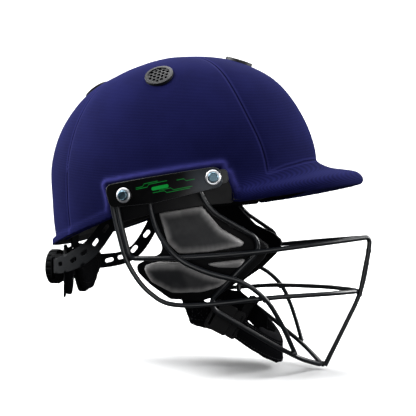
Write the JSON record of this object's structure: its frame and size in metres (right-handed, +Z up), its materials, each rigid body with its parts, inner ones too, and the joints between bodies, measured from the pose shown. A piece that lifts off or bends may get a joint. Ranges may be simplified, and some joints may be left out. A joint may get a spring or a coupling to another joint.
{
  "type": "cricket helmet",
  "caption": "Cricket batting helmet with a cloth-covered shell and peak, steel face grille, padded cheek guards, chin strap with side-release buckle and a rear dial that sizes the nape cradle",
  "frame": {"origin": "middle of the head seat, level with the brow band, on the plane that splits left from right", "axes": "+X forward, out through the face; +Y the wearer's left; +Z up through the crown"},
  "size_m": [0.3136, 0.216, 0.2941],
  "materials": {
    "knit_cover": "deep violet-navy ribbed knit",
    "shell_plastic": "black moulded shell",
    "edge_rubber": "soft black edging",
    "foam_black": "fine-celled black foam",
    "pad_fabric": "black brushed knit over foam",
    "hex_steel": "blue-grey steel",
    "washer_chrome": "bright cupped washer",
    "vent_plastic": "black, fine moulded grain",
    "trim_plastic": "black moulded trim",
    "plate_gloss": "polished black with thin green lines",
    "guard_foam": "black skinned foam",
    "guard_panel_grey": "charcoal, bevelled lighter edge",
    "wire_black": "black powder coat",
    "adjuster_plastic": "black nylon",
    "webbing": "black woven webbing",
    "buckle_plastic": "black satin moulding",
    "rivet_steel": "blackened steel"
  },
  "bodies": {
    "shell": {"band_left": "adjuster_plastic", "band_right": "adjuster_plastic", "brace_left": "wire_black", "brace_right": "wire_black", "brow_pad": "pad_fabric", "chin_hoop": "wire_black", "cover_centre": "knit_cover", "cover_left": "knit_cover", "cover_right": "knit_cover", "crown_pad": "pad_fabric", "cup_washers": "washer_chrome", "energy_liner": "foam_black", "grille_bracket_left": "wire_black", "grille_bracket_right": "wire_black", "guard_base_left": "guard_foam", "guard_base_right": "guard_foam", "guard_lower_left": "guard_panel_grey", "guard_lower_right": "guard_panel_grey", "guard_middle_left": "guard_panel_grey", "guard_middle_right": "guard_panel_grey", "guard_upper_left": "guard_panel_grey", "guard_upper_right": "guard_panel_grey", "hanger": "adjuster_plastic", "hard_shell": "shell_plastic", "liner_rivets": "rivet_steel", "lower_hoop": "wire_black", "peak_core": "shell_plastic", "peak_cover": "knit_cover", "plate_screws": "hex_steel", "rim_trim": "edge_rubber", "side_pads": "pad_fabric", "side_plate_left": "plate_gloss", "side_plate_right": "plate_gloss", "tee_nuts": "hex_steel", "temple_trim_left": "trim_plastic", "temple_trim_right": "trim_plastic", "upper_wire_left": "wire_black", "upper_wire_right": "wire_black", "vent_front": "vent_plastic", "vent_left": "vent_plastic", "vent_rear": "vent_plastic", "vent_right": "vent_plastic"},
    "cradle": {"housing_cover": "adjuster_plastic", "housing_front": "adjuster_plastic", "cradle_plate": "adjuster_plastic", "nape_pads": "pad_fabric"},
    "thumb_dial": {"dial": "adjuster_plastic", "pinion": "adjuster_plastic"},
    "rack_r": {"rack_right": "adjuster_plastic"},
    "rack_l": {"rack_left": "adjuster_plastic"},
    "chin_strap": {"strap_right": "webbing", "strap_left": "webbing", "chin_webbing": "webbing", "chin_cup": "pad_fabric", "strap_flap": "pad_fabric", "buckle_socket": "buckle_plastic", "buckle_plug": "buckle_plastic"},
    "catch_upper": {"prong_upper": "buckle_plastic"},
    "catch_lower": {"prong_lower": "buckle_plastic"},
    "keeper": {"slider": "buckle_plastic"}
  },
  "joints": [
    {"name": "cradle_slide", "type": "slide", "parent": "shell", "child": "cradle", "axis": [1, 0, 0], "range_m": [-0.008, 0.008], "deforming": ["band_right", "band_left", "hanger"]},
    {"name": "dial_turn", "type": "hinge", "parent": "cradle", "child": "thumb_dial", "pos_m": [-0.123, 0, -0.068], "axis": [1, 0, 0], "range_deg": [-180, 180]},
    {"name": "rack_right_slide", "type": "slide", "parent": "cradle", "child": "rack_r", "axis": [0, 1, 0], "range_m": [-0.0126, 0.0126]},
    {"name": "rack_left_slide", "type": "slide", "parent": "cradle", "child": "rack_l", "axis": [0, -1, 0], "range_m": [-0.0126, 0.0126]},
    {"name": "strap_swing", "type": "hinge", "parent": "shell", "child": "chin_strap", "pos_m": [-0.006, 0, 0.004], "axis": [0, 1, 0], "range_deg": [-3, 20]},
    {"name": "catch_upper_press", "type": "hinge", "parent": "chin_strap", "child": "catch_upper", "pos_m": [0.06043, -0.05747, -0.10311], "axis": [0.3833, -0.9236, 0], "range_deg": [0, 8], "stiffness_Nm_per_rad": 0.14},
    {"name": "catch_lower_press", "type": "hinge", "parent": "chin_strap", "child": "catch_lower", "pos_m": [0.05334, -0.06041, -0.11738], "axis": [-0.3833, 0.9236, 0], "range_deg": [0, 8], "stiffness_Nm_per_rad": 0.14},
    {"name": "keeper_slide", "type": "slide", "parent": "chin_strap", "child": "keeper", "axis": [0.7733, -0.3492, -0.5292], "range_m": [-0.005, 0.005]}
  ],
  "couplings": [
    {"joint": "dial_turn", "follows": "cradle_slide", "rad_per_m": -392.6},
    {"joint": "rack_right_slide", "follows": "cradle_slide", "ratio": 1.5704},
    {"joint": "rack_left_slide", "follows": "cradle_slide", "ratio": 1.5704}
  ]
}
